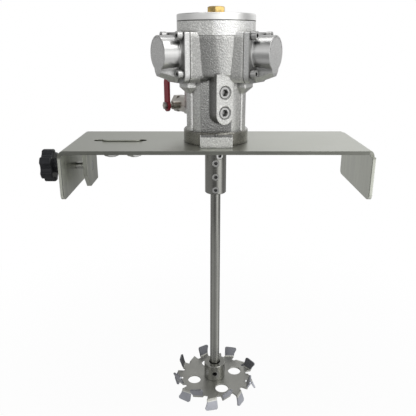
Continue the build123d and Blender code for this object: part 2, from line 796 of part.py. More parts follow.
def outer_race(radius, journal, bottom, height):
    """Outer race of a shielded ball bearing, shields included."""
    inner = journal + race_wall
    race = tube(radius - touch, radius - race_wall, bottom, bottom + height)
    for low in (bottom + shield_inset, bottom + height - shield_inset - shield_thickness):
        race += tube(radius - race_wall + touch, inner + sliding, low, low + shield_thickness)
    return race


def inner_race(journal, bottom, height):
    """Inner race of a bearing, on the shaft."""
    return tube(journal + race_wall, journal + touch, bottom, bottom + height)


def crankshaft():
    """Shaft with its journals, web, counterweight and crank pin."""
    steps = [(shaft_radius, -shaft_tail, lower_bearing_bottom),
             (lower_journal, lower_bearing_bottom, lower_bearing_top),
             (collar_radius, lower_bearing_top, upper_bearing_bottom),
             (upper_journal, upper_bearing_bottom, upper_bearing_top),
             (neck_radius, upper_bearing_top, web_bottom)]
    shaft = disc(*steps[0])
    for radius, low, high in steps[1:]:
        shaft += disc(radius, low, high)
    pin_half = Rectangle(3 * counterweight_radius, 2 * counterweight_radius)
    web = Circle(counterweight_radius) - Pos(0, counterweight_radius) * pin_half
    web += Pos(0, pin_y) * Circle(web_pin_side)
    web += Pos(0, pin_y / 2) * Rectangle(2 * web_pin_side, pin_y)
    shaft += extrude(Plane.XY.offset(web_bottom) * web, amount=web_thickness)
    shaft += disc(pin_radius, web_top, pin_top, 0, pin_y)
    return shaft - disc(drive_pin_radius + running, pin_top - drive_pin_depth, pin_top + past, 0, pin_y / 2)


def crank_bush():
    """Bronze bush inside the drive ring, running on the crank pin."""
    return tube(pin_radius + bush_wall, pin_radius + running, ring_bottom + bush_inset, ring_top - bush_inset,
                0, pin_y)


def drive_ring():
    """Hardened ring that the piston feet ride on."""
    ring = disc(ring_radius, ring_bottom, ring_top, 0, pin_y)
    ring = chamfer(ring.edges().filter_by(GeomType.CIRCLE), edge_break)
    return ring - disc(pin_radius + bush_wall + touch, ring_bottom - past, ring_top + past, 0, pin_y)


def valve_drive_pin():
    """Loose dowel that turns the rotary valve with the crank pin."""
    low = pin_top - drive_pin_depth + drive_pin_gap
    return disc(drive_pin_radius, low, valve_bottom + drive_pin_rise, 0, pin_y / 2)


def rotary_valve():
    """Distributor that feeds the cylinders in turn."""
    valve = disc(valve_neck_radius, valve_bottom, valve_shoulder + touch)
    valve += disc(valve_radius, valve_shoulder, valve_top)
    groove_low = valve_shoulder + valve_groove_rise - valve_groove_height / 2
    groove_top = groove_low + valve_groove_height
    reach = valve_radius + past
    groove = tube(reach, valve_radius - valve_groove_depth, groove_low, groove_top)
    valve -= groove & block((-reach, reach), (0, reach), (groove_low - past, groove_top + past))
    pocket_top = valve_bottom + drive_pin_rise + drive_pin_gap
    return valve - disc(drive_pin_radius + running, valve_bottom - past, pocket_top, 0, pin_y / 2)


def piston_shift(angle):
    """How far the crank pin pushes a piston outwards at rest."""
    return crank_throw * cos(radians(90 - angle))


def piston(angle):
    """Trunk piston with a stem and a flat foot that rides on the drive ring."""
    plane = facing(angle, bore_height).offset(piston_shift(angle))
    foot_low = ring_radius + foot_gap
    skirt_low = piston_crown - piston_skirt
    body = peg(plane, bore_radius - piston_clearance, skirt_low, piston_crown)
    body = chamfer(body.edges().filter_by(GeomType.CIRCLE), edge_break)
    body += peg(plane, piston_stem_radius, foot_low + past, skirt_low + past)
    foot = plane.offset(foot_low) * RectangleRounded(2 * foot_half_width, 2 * foot_half_height, foot_round)
    body += extrude(foot, amount=foot_thickness)
    groove_low = piston_crown - piston_ring_setback - piston_ring_height
    groove_floor = bore_radius - piston_ring_clearance - piston_ring_depth - piston_ring_back
    groove_top = groove_low + piston_ring_height
    groove = peg(plane, bore_radius + past, groove_low, groove_top)
    return body - (groove - peg(plane, groove_floor, groove_low - past, groove_top + past))


def piston_ring(angle):
    """Ring in the piston's groove."""
    plane = facing(angle, bore_height).offset(piston_shift(angle))
    low = piston_crown - piston_ring_setback - piston_ring_height
    outer = bore_radius - piston_ring_clearance
    ring = peg(plane, outer, low + touch, low + piston_ring_height - touch)
    return ring - peg(plane, outer - piston_ring_depth, low - past, low + piston_ring_height + past)


def set_screw_planes():
    """Planes at the mouths of the coupling's screw holes."""
    return [facing(turn, height, coupling_radius)
            for height, turn in zip(set_screw_heights, set_screw_turns)]


def coupling():
    """Round sleeve that joins the motor's shaft to the rod."""
    sleeve = disc(coupling_radius, coupling_bottom, coupling_top)
    sleeve = chamfer(sleeve.edges().filter_by(GeomType.CIRCLE), coupling_chamfer)
    sleeve -= disc(shaft_radius + touch, -shaft_tail - rod_gap / 2, coupling_top + past)
    sleeve -= disc(rod_radius + touch, coupling_bottom - past, -shaft_tail)
    for plane in set_screw_planes():
        sleeve -= peg(plane, set_screw_radius + touch, -coupling_radius + rod_radius, past)
    return sleeve


def coupling_screws():
    """Socket set screws in the coupling."""
    screws = []
    for plane, height in zip(set_screw_planes(), set_screw_heights):
        seat = shaft_radius if height > -shaft_tail else rod_radius
        screw = peg(plane, set_screw_radius, seat - coupling_radius + set_screw_gap, -set_screw_recess)
        socket = plane.offset(-set_screw_recess) * hexagon(set_screw_socket)
        screws.append(screw - extrude(socket, amount=-set_screw_socket_depth))
    return gathered(screws)


def mixing_rod():
    """Plain rod from the coupling to the disc."""
    rod = disc(rod_radius, disc_bottom, -shaft_tail - rod_gap)
    return chamfer(rod.edges().filter_by(GeomType.CIRCLE), edge_break)


def impeller_hub():
    """Hub that carries the disc, with a chamfered bore and a set screw hole."""
    hub = disc(hub_radius, disc_top, disc_top + hub_height)
    hub = chamfer(hub.edges().group_by(Axis.Z)[-1], edge_break)
    hub -= disc(rod_radius + touch, disc_top - past, disc_top + hub_height + past)
    lead = Pos(0, 0, disc_top + hub_height) * Cone(rod_radius, rod_radius + 2 * hub_chamfer, 2 * hub_chamfer)
    hub -= lead
    mouth = facing(hub_screw_turn, disc_top + hub_height / 2, hub_radius)
    return hub - peg(mouth, hub_screw_radius + touch, rod_radius - hub_radius, past)


def hub_screw():
    """Set screw sunk in the hub."""
    mouth = facing(hub_screw_turn, disc_top + hub_height / 2, hub_radius)
    screw = peg(mouth, hub_screw_radius, rod_radius - hub_radius + set_screw_gap, -hub_screw_recess)
    socket = mouth.offset(-hub_screw_recess) * hexagon(hub_screw_socket)
    return screw - extrude(socket, amount=-set_screw_socket_depth)


def tooth_outline(side):
    """Outline of a blade in its own plane, from the bend upwards: a claw with a hollow flared side."""
    half = tooth_base_width / 2 / cos(radians(tooth_twist))
    tip = -half - tooth_flare
    low = tooth_length - tooth_droop
    hollow = (-half - tooth_flare / 4, tooth_length / 2)
    edges = Polyline((-half, 0), (half, 0), (half, tooth_length), (tip, low))
    outline = make_face(edges + ThreePointArc((tip, low), hollow, (-half, 0)))
    heights = outline.vertices().group_by(Axis.Y)
    outline = fillet(heights[-1] + heights[-2], tooth_corner)
    return outline if side > 0 else mirror(outline, Plane.XZ)


def tooth(angle, side):
    """One blade: bent up (side 1) or down (side -1) and flared clockwise, as seen from above."""
    edge = disc_height - side * disc_thickness / 2
    bend_x, bend_y = unit(angle)
    out_x, out_y = unit(angle + tooth_twist)
    lean = radians(tooth_lean)
    along = Plane(origin=(disc_bend_radius * bend_x, disc_bend_radius * bend_y, edge),
                  x_dir=(-out_y, out_x, 0),
                  z_dir=(cos(lean) * out_x, cos(lean) * out_y, -side * sin(lean)))
    return extrude(along * tooth_outline(side), amount=-disc_thickness)


def impeller_disc():
    """Toothed disc: sixteen blades cut from the rim and bent up and down in turn."""
    plate = Circle(disc_root_radius)
    pitch = 360 / tooth_count
    half = tooth_base_width / 2
    slant = half * tan(radians(tooth_twist))
    reach = disc_bend_radius - disc_thickness / 2
    corners = [(0, -half), (reach + slant, -half), (reach - slant, half), (0, half)]
    stub = make_face(Polyline(*corners, close=True))
    for index in range(tooth_count):
        plate += Rot(0, 0, tooth_turn + index * pitch) * stub
    plate -= Circle(rod_radius + touch)
    for spot in PolarLocations(disc_hole_circle_radius, 4, start_angle=disc_hole_turn):
        plate -= spot * Circle(disc_hole_radius)
    plate = extrude(Plane.XY.offset(disc_bottom) * plate, amount=disc_thickness)
    for index in range(tooth_count):
        side = 1 if index % 2 == 0 else -1
        plate += tooth(tooth_turn + index * pitch, side)
    return plate


def motor_bolts():
    """Four hexagon bolts from under the plate into the motor's base."""
    bolts = []
    under = -motor_washer_thickness
    for spot in PolarLocations(motor_bolt_circle_radius, 4, start_angle=45):
        head = Plane.XY.offset(under - motor_bolt_head) * hexagon(motor_bolt_across_flats)
        bolt = extrude(head, amount=motor_bolt_head)
        bolt += disc(motor_bolt_radius, under, casing_bottom + motor_bolt_depth)
        bolts.append(spot * bolt)
    return gathered(bolts)


def motor_washers():
    """Washers under the motor bolts' heads."""
    return gathered(spot * tube(motor_washer_radius, motor_bolt_radius + touch, -motor_washer_thickness, 0)
                    for spot in PolarLocations(motor_bolt_circle_radius, 4, start_angle=45))


def rear_port(height):
    """Plane at the mouth of a rear port."""
    return facing(boss_angle + 180, height, boss_reach, boss_offset)


def inlet_valve_body():
    """Hand valve's body: threaded tail in the lower rear port, barrel, and hexagon with the inlet thread."""
    port = rear_port(port_heights[0])
    body = peg(port, port_radius - touch, drill_tail - port_depth, past)
    body += extrude(port * hexagon(valve_hex), amount=valve_hex_length)
    body += peg(port, valve_barrel_radius, valve_hex_length - past, valve_length - past)
    tail = port.offset(valve_length - valve_hex_length)
    body += extrude(tail * hexagon(valve_hex), amount=valve_hex_length)
    stem = stem_plane()
    body += peg(stem, stem_boss_radius, 0, stem_boss_reach)
    body -= peg(port, valve_bore, -port_depth, valve_length + past)
    body -= peg(port, inlet_thread_radius, valve_length - inlet_thread_depth, valve_length + past)
    body -= Pos(*stem.origin) * Sphere(ball_radius + ball_gap)
    return body - peg(stem, stem_radius + running, 0, stem_boss_reach + past)


def stem_plane():
    """Plane at the valve's centre whose Z runs along the stem, to the left."""
    port = rear_port(port_heights[0]).offset(valve_centre)
    return Plane(origin=port.origin, x_dir=port.z_dir, z_dir=port.x_dir)


def valve_ball():
    """Bored ball and its stem, at the shut position."""
    stem = stem_plane()
    ball = Pos(*stem.origin) * Sphere(ball_radius)
    upright = Plane(origin=stem.origin, z_dir=(0, 0, 1))
    ball -= peg(upright, valve_bore, -ball_radius - past, ball_radius + past)
    stem_end = lever_setback + lever_thickness + stem_nut_height + stem_tail
    return ball + peg(stem, stem_radius, valve_bore + past, stem_end)


def valve_lever():
    """Flat lever on the stem, standing up when the valve is shut."""
    face = stem_plane().offset(lever_setback)
    outline = Circle(lever_hub_radius)
    bar = RectangleRounded(lever_length, lever_width, lever_width / 2 - touch)
    upright = 90 if abs(face.x_dir.Z) < 0.5 else 0
    if face.y_dir.Z < 0:
        upright = -upright
    outline += Rot(0, 0, upright) * Pos(lever_length / 2 - lever_width / 2, 0) * bar
    lever = extrude(face * outline, amount=lever_thickness)
    return lever - peg(face, stem_radius + touch, -past, lever_thickness + past)


def lever_nut():
    """Nut that holds the lever on its stem."""
    face = stem_plane().offset(lever_setback + lever_thickness)
    nut = extrude(face * hexagon(stem_nut_across_flats), amount=stem_nut_height)
    return nut - peg(face, stem_radius + touch, -past, stem_nut_height + past)


def exhaust_silencer():
    """Short silencer in the upper rear port: threaded tail, hexagon and sintered dome."""
    port = rear_port(port_heights[1])
    body = peg(port, port_radius - touch, -plug_length, past)
    body += extrude(port * hexagon(silencer_hex), amount=silencer_flange)
    dome = peg(port, silencer_dome_radius, silencer_flange - past, silencer_flange + silencer_dome_length)
    tip = edges_in(dome, port.offset(silencer_flange + silencer_dome_length))
    return body + fillet(tip, silencer_dome_length / 2)


def build():
    """Every piece of the mixer by its name."""
    pieces = {
        "mount_plate": mount_plate(), "lip_nut": lip_nut(), "motor_casing": motor_casing(),
        "top_cover": top_cover(), "cover_gasket": cover_gasket(), "top_plug": top_plug(),
        "cover_screws": cover_screws(),
        "cap_screws": cap_screws(), "port_plugs": port_plugs(), "valve_housing": valve_housing(),
        "shaft_seal": shaft_seal(), "motor_bolts": motor_bolts(), "motor_washers": motor_washers(),
        "inlet_valve_body": inlet_valve_body(), "exhaust_silencer": exhaust_silencer(),
        "valve_ball": valve_ball(), "valve_lever": valve_lever(), "lever_nut": lever_nut(),
        "crankshaft": crankshaft(), "rotary_valve": rotary_valve(), "coupling": coupling(),
        "coupling_screws": coupling_screws(), "mixing_rod": mixing_rod(), "impeller_hub": impeller_hub(),
        "impeller_disc": impeller_disc(), "hub_screw": hub_screw(), "drive_ring": drive_ring(),
        "crank_bush": crank_bush(), "valve_drive_pin": valve_drive_pin(), "clamp_jaw": clamp_jaw(),
        "guide_strap": guide_strap(), "guide_washers": guide_washers(), "guide_nuts": guide_nuts(),
        "star_knob": star_knob(), "clamp_screw": clamp_screw(), "screw_retainer": screw_retainer(),
    }
    bearings = {"lower": (lower_race_radius, lower_journal, lower_bearing_bottom, lower_bearing_height),
                "upper": (upper_race_radius, upper_journal, upper_bearing_bottom, upper_bearing_height)}
    for place, (radius, journal, bottom, height) in bearings.items():
        pieces[f"{place}_bearing_outer"] = outer_race(radius, journal, bottom, height)
        pieces[f"{place}_bearing_inner"] = inner_race(journal, bottom, height)
    for side, angle in cylinder_angles.items():
        pieces[f"cylinder_cap_{side}"] = cylinder_cap(angle)
        pieces[f"cap_gasket_{side}"] = cap_gasket(angle)
        pieces[f"cylinder_liner_{side}"] = cylinder_liner(angle)
        pieces[f"piston_{side}"] = piston(angle)
        pieces[f"piston_ring_{side}"] = piston_ring(angle)
    return pieces


os.makedirs("parts", exist_ok=True)
for name, piece in build().items():
    export_step(piece, f"parts/{name}.step")
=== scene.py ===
"""Looks of a pneumatic drum mixer: finishes for its pieces, threads, and the studio round it."""

from math import cos, pi, radians, sin

import bmesh
import bpy
from bpy.props import FloatProperty, FloatVectorProperty, PointerProperty
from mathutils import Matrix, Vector


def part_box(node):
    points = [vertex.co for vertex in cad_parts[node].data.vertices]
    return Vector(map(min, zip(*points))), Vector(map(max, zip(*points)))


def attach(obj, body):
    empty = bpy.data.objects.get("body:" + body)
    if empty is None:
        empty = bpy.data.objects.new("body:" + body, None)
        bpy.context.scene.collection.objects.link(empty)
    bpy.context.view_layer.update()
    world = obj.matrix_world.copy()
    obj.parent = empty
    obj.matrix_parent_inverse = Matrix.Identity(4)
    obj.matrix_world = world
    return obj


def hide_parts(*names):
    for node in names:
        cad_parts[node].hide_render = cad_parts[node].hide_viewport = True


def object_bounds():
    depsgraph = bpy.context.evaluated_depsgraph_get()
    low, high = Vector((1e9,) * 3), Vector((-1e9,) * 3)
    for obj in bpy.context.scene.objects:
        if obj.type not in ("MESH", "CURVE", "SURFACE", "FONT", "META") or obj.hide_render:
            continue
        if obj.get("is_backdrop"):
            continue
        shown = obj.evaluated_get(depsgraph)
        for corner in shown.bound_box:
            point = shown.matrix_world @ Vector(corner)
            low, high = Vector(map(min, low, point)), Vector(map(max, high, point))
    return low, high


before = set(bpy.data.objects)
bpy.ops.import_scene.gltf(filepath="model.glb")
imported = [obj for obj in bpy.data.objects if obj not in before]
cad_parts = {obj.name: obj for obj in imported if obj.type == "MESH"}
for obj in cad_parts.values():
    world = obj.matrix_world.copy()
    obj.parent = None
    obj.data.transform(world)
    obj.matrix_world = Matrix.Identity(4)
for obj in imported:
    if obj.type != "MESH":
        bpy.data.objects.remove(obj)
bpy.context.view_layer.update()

bl_info = {
    "name": "Pneumatic Drum Mixer",
    "version": (1, 0, 0),
    "blender": (4, 5, 0),
    "location": "View3D > Sidebar > Mixer",
    "description": "Finishes and studio for a three-cylinder air mixer on a clamping plate",
    "category": "Object",
}

# Directions of the three cylinders, in degrees from +X
BORES = {"right": -30.0, "left": -150.0, "back": 90.0}

# Sides of a turned shape, and how close its seams are welded
TURN_STEPS = 24
WELD = 1e-6

# Places where one finish meets the next, in metres from the shaft's axis and the plate's underside
plate_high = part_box("mount_plate")[1]
LIP_TOP = -0.0040
SHEET_EDGE = plate_high[1] - 0.00065
# Across the lips: where a thin darker line runs on their edge faces
LIP_DARK_LINE = plate_high[0] - 0.0034

# On the disc: heights from the middle of its sheet, and where its rear half starts
TOOTH_RISE = 0.0023
BEND_START = 0.00135
BEND_END = 0.00225
REAR_TEETH = -0.0050

# On the motor casing, from the machined ring at its foot up to the valve chamber
casing_low, casing_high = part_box("motor_casing")
piston_low, piston_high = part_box("piston_back")
BORE_HEIGHT = (piston_low[2] + piston_high[2]) / 2
RING_TOP = plate_high[2] + 0.0149
RING_OUTSIDE = 0.03675
RING_INSIDE = 0.0345
LUG_FACE = casing_low[1] + 0.0008
BOSS_ANGLE = radians(-60.0)
BOSS_FACE = 0.0350
BOSS_FOOT = 0.0190
FLAT_SIDE = 0.0170
FLAT_FACE = -0.02525
DRUM_FOOT = BORE_HEIGHT - 0.0250
PANEL_FOOT = DRUM_FOOT + 0.0010
PANEL_SIDE = 0.0245
PANEL_FACE = -0.0265
CHAMBER_FOOT = casing_high[2] - 0.0154

# On a cylinder head: along its bore from the shaft's axis, then radii and heights from the bore's own axis
head_low, head_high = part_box("cylinder_cap_back")
SEAT_START = head_low[1] + 0.0053
ROOT_START = head_low[1] + 0.00595
TUBE_START = head_low[1] + 0.00665
SEAT_END = head_low[1] + 0.0067
WEDGE_START = head_low[1] + 0.00685
ROOT_END = head_low[1] + 0.0086
END_FACE = head_high[1] - 0.00035
TUBE_END = head_high[1] - 0.0003
RIM_RADIUS = 0.01485
TUBE_INSIDE = 0.01725
TUBE_OUTSIDE = 0.017725
SEAT_RADIUS = 0.0185
ROOT_RADIUS = 0.0220
RIM_FOOT = 0.0020
WEDGE_TOP = -0.01075
TUBE_FOOT = -0.0123
WEDGE_SHOULDER = -0.01775
DUCT_TOP = -0.0200

# Lamps: place, size in metres and power in watts. All point at the motor's foot
LAMPS = {
    "key_lamp": ((0.80, -0.50, 1.30), (1.1, 1.1), 11),
    "fill_lamp": ((-1.2, -0.9, 0.9), (1.4, 1.4), 3.5),
    "top_lamp": ((-0.1, 0.4, 1.6), (1.0, 0.6), 5),
}
LAMP_TARGET = (0, 0, 0.02)

# How bright the studio is round the horizon, just above it and just below it: share of a turn from -X by
# way of -Y, and brightness
ABOVE = ((0.0, 0.50), (0.10, 0.46), (0.18, 0.90), (0.25, 1.80), (0.39, 1.90), (0.45, 0.85), (0.50, 0.46),
         (0.58, 0.72), (0.70, 0.95), (0.79, 0.55), (0.92, 0.46), (1.0, 0.50))
BELOW = ((0.0, 0.34), (0.10, 0.30), (0.20, 0.12), (0.27, 0.12), (0.35, 1.15), (0.41, 1.15), (0.48, 0.24),
         (0.58, 0.36), (0.70, 0.26), (0.79, 0.62), (0.92, 0.30), (1.0, 0.34))

# How bright the floor is for polished metal, in the same shares of a turn round the shaft
FLOOR = ((0.0, 0.28), (0.10, 0.45), (0.22, 0.25), (0.32, 0.36), (0.40, 0.70), (0.47, 0.95), (0.53, 0.42),
         (0.60, 0.08), (0.75, 0.0), (0.90, 0.08), (1.0, 0.28))

# How white the floor is under the mixer, how far out in metres it starts to fade and, as a share of its
# radius, where it is as white as the backdrop. Its shade carries the mixer's shadow
FLOOR_WHITE = 0.972
FADE_START = 0.1
FADE_END = 0.97
FLOOR_SHADE = (0.22, 0.22, 0.22)
FLOOR_SIDES = 96


def colour(name, words, default):
    """A colour property."""
    return FloatVectorProperty(name=name, description=words, subtype="COLOR", size=3, min=0, max=1,
                               default=default)


def length(name, words, default):
    """A length property, in metres."""
    return FloatProperty(name=name, description=words, default=default, min=0, unit="LENGTH", precision=5)


class MIXER_PG_finishes(bpy.types.PropertyGroup):
    """Colours of the mixer's surfaces."""

    sheet: colour("Sheet", "Brushed stainless of the plate and the jaw", (0.46, 0.47, 0.42))
    bar: colour("Bar", "Turned stainless of the rod, the coupling and the hub", (0.38, 0.38, 0.355))
    blade: colour("Blade", "Pressed stainless of the dispersing disc", (0.52, 0.52, 0.485))
    tooth: colour("Tooth", "Bent teeth of the dispersing disc", (0.45, 0.46, 0.50))
    cast: colour("Casting", "Peened aluminium of the motor casing", (0.70, 0.70, 0.68))
    turned: colour("Turned", "Turned aluminium of the heads and the cover", (0.72, 0.72, 0.71))
    base: colour("Base", "Machined ring at the casing's foot", (0.42, 0.41, 0.37))
    plated: colour("Plated", "Zinc plated screws and nuts", (0.55, 0.55, 0.54))
    blackened: colour("Blackened", "Set screws", (0.06, 0.06, 0.06))
    ground: colour("Ground", "Ground steel inside the motor", (0.48, 0.49, 0.50))
    bronze: colour("Bronze", "Sintered bronze and bushes", (0.45, 0.27, 0.12))
    brass: colour("Brass", "Plug in the cover", (0.70, 0.50, 0.19))
    nickel: colour("Nickel", "Plated valve body", (0.60, 0.57, 0.52))
    gasket: colour("Gasket", "Fibre sheet", (0.05, 0.05, 0.045))
    knob: colour("Knob", "Moulded plastic", (0.012, 0.013, 0.016))
    lever: colour("Lever", "Dipped coating of the hand valve's lever", (0.30, 0.010, 0.025))


class MIXER_PG_stage(bpy.types.PropertyGroup):
    """Sizes of the studio and the camera."""

    camera_height: length("Camera height", "Above the plate's underside", 0.1138)
    camera_distance: length("Camera distance", "In front of the shaft axis", 0.5723)
    camera_offset: FloatProperty(name="Camera offset", description="To the right of the shaft axis",
                                 default=-0.0089, unit="LENGTH", precision=5)
    camera_pitch: FloatProperty(name="Camera pitch", description="Angle below level", default=radians(18.57),
                                subtype="ANGLE")
    focal: FloatProperty(name="Focal length", description="For a 36 mm sensor", default=43.27)
    floor_radius: length("Floor radius", "Where the floor has faded into the white backdrop", 0.62)
    floor_gap: length("Floor gap", "Between the floor and the lowest blade", 0.012)


class MIXER_PG_thread(bpy.types.PropertyGroup):
    """Sizes of the clamp screw's thread and turned end."""

    pitch: length("Pitch", "From crest to crest", 0.00125)
    depth: length("Depth", "From crest to root", 0.00068)
    collar: length("Collar", "Plain length before the turned end", 0.0010)
    journal_length: length("Journal length", "Turned end that runs in the jaw", 0.0050)
    journal_radius: length("Journal radius", "Of the turned end", 0.0030)


class Value:
    """A shader value that Python's arithmetic works on, by adding Math nodes."""

    def __init__(self, finish, socket):
        self.finish = finish
        self.socket = socket

    def maths(self, operation, *others):
        """A Math node on this value and up to two others."""
        return self.finish.node("Math", {"operation": operation}, dict(enumerate((self, *others))))

    def __add__(self, other):
        return self.maths("ADD", other)

    __radd__ = __add__

    def __sub__(self, other):
        return self.maths("SUBTRACT", other)

    def __rsub__(self, other):
        return self.maths("MULTIPLY_ADD", -1.0, other)

    def __mul__(self, other):
        return self.maths("MULTIPLY", other)

    __rmul__ = __mul__

    def __truediv__(self, other):
        return self.maths("DIVIDE", other)

    def __pow__(self, other):
        return self.maths("POWER", other)

    def __abs__(self):
        return self.maths("ABSOLUTE")

    def ease(self, low, high, start=0.0, end=1.0):
        """Goes smoothly from start to end as this value goes from low to high."""
        sockets = {"Value": self, "From Min": low, "From Max": high, "To Min": start, "To Max": end}
        return self.finish.node("MapRange", {"interpolation_type": "SMOOTHSTEP"}, sockets)

    def over(self, place, soft):
        """1 over a place and 0 under it, with a border of a given width round it."""
        return self.ease(place - soft / 2, place + soft / 2)

    def under(self, place, soft):
        """1 under a place and 0 over it, with a border of a given width round it."""
        return self.ease(place + soft / 2, place - soft / 2)

    def wave(self, frequency):
        """Sine of this value, at a frequency in radians per metre."""
        return (self * frequency).maths("SINE")


class Finish:
    """A material in the making, whose nodes are added one by one."""

    def __init__(self, name, target=None):
        self.material = target or bpy.data.materials.new(name)
        self.material.use_nodes = True
        self.tree = self.material.node_tree
        self.tree.nodes.clear()

    def node(self, kind, settings=None, sockets=None, output=0):
        """Adds a shader node, sets its settings, then its sockets, and gives one of its outputs."""
        added = self.tree.nodes.new("ShaderNode" + kind)
        for name, value in (settings or {}).items():
            if name == "stops":
                self.set_stops(added.color_ramp, value)
            else:
                setattr(added, name, value)
        for name, value in (sockets or {}).items():
            self.feed(value, added.inputs[name])
        return Value(self, added.outputs[output])

    def feed(self, value, socket):
        """Links a value to a socket, or sets the socket to a number, colour or vector."""
        if isinstance(value, Value):
            self.tree.links.new(value.socket, socket)
        elif socket.type == "RGBA" and len(value) == 3:
            socket.default_value = (*value, 1.0)
        else:
            socket.default_value = value

    @staticmethod
    def set_stops(ramp, stops):
        """Gives a colour ramp its stops, from pairs of place and grey."""
        while len(ramp.elements) < len(stops):
            ramp.elements.new(1.0)
        for element, (place, grey) in zip(ramp.elements, stops):
            element.position = place
            element.color = (grey, grey, grey, 1.0)

    def place(self, scale=(1, 1, 1), centre=(0, 0, 0)):
        """Object coordinates in metres, moved to a centre and scaled."""
        coordinates = self.node("TexCoord", output="Object")
        moved = self.node("VectorMath", {"operation": "SUBTRACT"}, {0: coordinates, 1: centre})
        return self.node("Mapping", {}, {"Vector": moved, "Scale": scale})

    def parts(self, vector):
        """The X, Y and Z of a vector."""
        split = self.node("SeparateXYZ", {}, {"Vector": vector})
        outputs = split.socket.node.outputs
        return [Value(self, outputs[index]) for index in range(3)]

    def ramp(self, factor, stops):
        """A brightness read off a row of stops, by a factor from 0 to 1."""
        return self.node("ValToRGB", {"stops": stops}, {"Fac": factor})

    def noise(self, vector, scale, detail=3.0, roughness=0.55, distortion=0.0):
        """Noise from 0 to 1, whose scale is in waves to the metre."""
        return self.node("TexNoise", {}, {"Vector": vector, "Scale": scale, "Detail": detail,
                                          "Roughness": roughness, "Distortion": distortion})

    def cells(self, vector, scale, feature="F1"):
        """Distance to the nearest cell's point."""
        return self.node("TexVoronoi", {"feature": feature}, {"Vector": vector, "Scale": scale})

    def rays(self, kind):
        """1 for one kind of ray: Camera, Glossy or Transmission."""
        return self.node("LightPath", output=f"Is {kind} Ray")

    def painted_hollow_shade(self, distance, darkest=0.3):
        """Painted shade: darkens the colour where surfaces close in on each other within a distance."""
        openness = self.node("AmbientOcclusion", {"samples": 6}, {"Distance": distance}, output="AO")
        return openness.ease(0.3, 0.85, darkest, 1.0)

    def blend(self, factor, first, second):
        """One colour turning into another as the factor goes from 0 to 1."""
        return self.node("Mix", {"data_type": "RGBA"}, {0: factor, 6: first, 7: second}, output=2)

    def tint(self, shade, factor):
        """A colour made lighter or darker by a factor."""
        return self.node("VectorMath", {"operation": "SCALE"}, {0: shade, "Scale": factor})

    def relief(self, height, depth, strength=1.0, edge=0.0004):
        """Surface normal with a relief of a given depth, and with edges rounded off by a radius."""
        rounded = self.node("Bevel", {"samples": 6}, {"Radius": edge})
        return self.node("Bump", {}, {"Height": height, "Distance": depth, "Strength": strength,
                                      "Normal": rounded})

    def close(self, shader, kind="OutputMaterial"):
        """Links a shader to the output of the material or the world."""
        output = self.tree.nodes.new("ShaderNode" + kind)
        self.tree.links.new(shader.socket, output.inputs["Surface"])

    def surface(self, **sockets):
        """Finishes the material with a Principled shader, whose sockets are named with _ for a space."""
        named = {name.replace("_", " "): value for name, value in sockets.items()}
        self.close(self.node("BsdfPrincipled", {}, named))
        return self.material


def from_axis(first, second):
    """Distance from an axis, from the two parts of a place across it."""
    return (first * first + second * second) ** 0.5


def brushed_sheet(shade):
    """Stainless sheet, brushed along its length and down its lips, with smudges, darker cut edges, a painted
    highlight on the lip edges and a thin darker line beside it.
    """
    finish = Finish("brushed_sheet")
    here = finish.place()
    x, y, z = finish.parts(here)
    upright = z.under(LIP_TOP, 0.0040)
    along = finish.noise(finish.place(scale=(6, 420, 420)), 2.0, 4.0)
    down = finish.noise(finish.place(scale=(420, 420, 6)), 2.0, 4.0)
    lines = along + (down - along) * upright
    fine = finish.noise(finish.place(scale=(18, 1500, 1500)), 2.0, 2.0)
    cloud = finish.noise(here, 14.0, 3.0)
    smudge = finish.noise(here, 60.0, 4.0, 0.7)
    streaks = finish.noise(finish.place(scale=(40, 40, 5)), 2.0, 3.0).ease(0.35, 0.7) * upright
    edge = abs(y).over(SHEET_EDGE, 0.0007)
    dark_line = edge * upright * abs(abs(x) - LIP_DARK_LINE).under(0.0005, 0.0004)
    # Painted shade where the sheet's surfaces close in
    hollow_shade = finish.painted_hollow_shade(0.004, 0.5)
    bright = (0.80 + lines * 0.14 + cloud * 0.22 + smudge * 0.08 + streaks * 0.3) * hollow_shade
    # Painted highlight on the upright lip edges; the cut edges are darker, and a thin darker line runs near
    # the lip's inner face
    bright = bright * (1.0 - edge * 0.4 + edge * upright * 0.75 - dark_line * 0.9)
    roughness = 0.20 + lines * 0.12 + cloud * 0.12 + streaks * 0.1
    return finish.surface(Base_Color=finish.tint(shade, bright), Metallic=1.0, Roughness=roughness,
                          Normal=finish.relief(lines * 0.6 + fine * 0.4, 0.00006, 0.5, 0.0005))


def turned_bar(shade, name="turned_bar", across=900.0):
    """Upright steel or aluminium bar with fine rings from the lathe and drawn streaks."""
    finish = Finish(name)
    rings = finish.noise(finish.place(scale=(1, 1, across)), 1.0, 3.0)
    streak = finish.noise(finish.place(scale=(220, 220, 5)), 1.0, 3.0)
    cloud = finish.noise(finish.place(), 30.0, 3.0)
    grain = finish.noise(finish.place(), 850.0, 2.0, 0.6)
    # Painted shade darkens the bar where surfaces close in
    bright = (0.52 + rings * 0.16 + streak * 0.26 + cloud * 0.20 + grain * 0.3) * finish.painted_hollow_shade(0.003)
    return finish.surface(Base_Color=finish.tint(shade, bright), Metallic=1.0,
                          Roughness=0.12 + rings * 0.1 + grain * 0.1,
                          Normal=finish.relief(rings * 0.35 + grain * 0.35, 0.00006, 0.6, 0.0003))


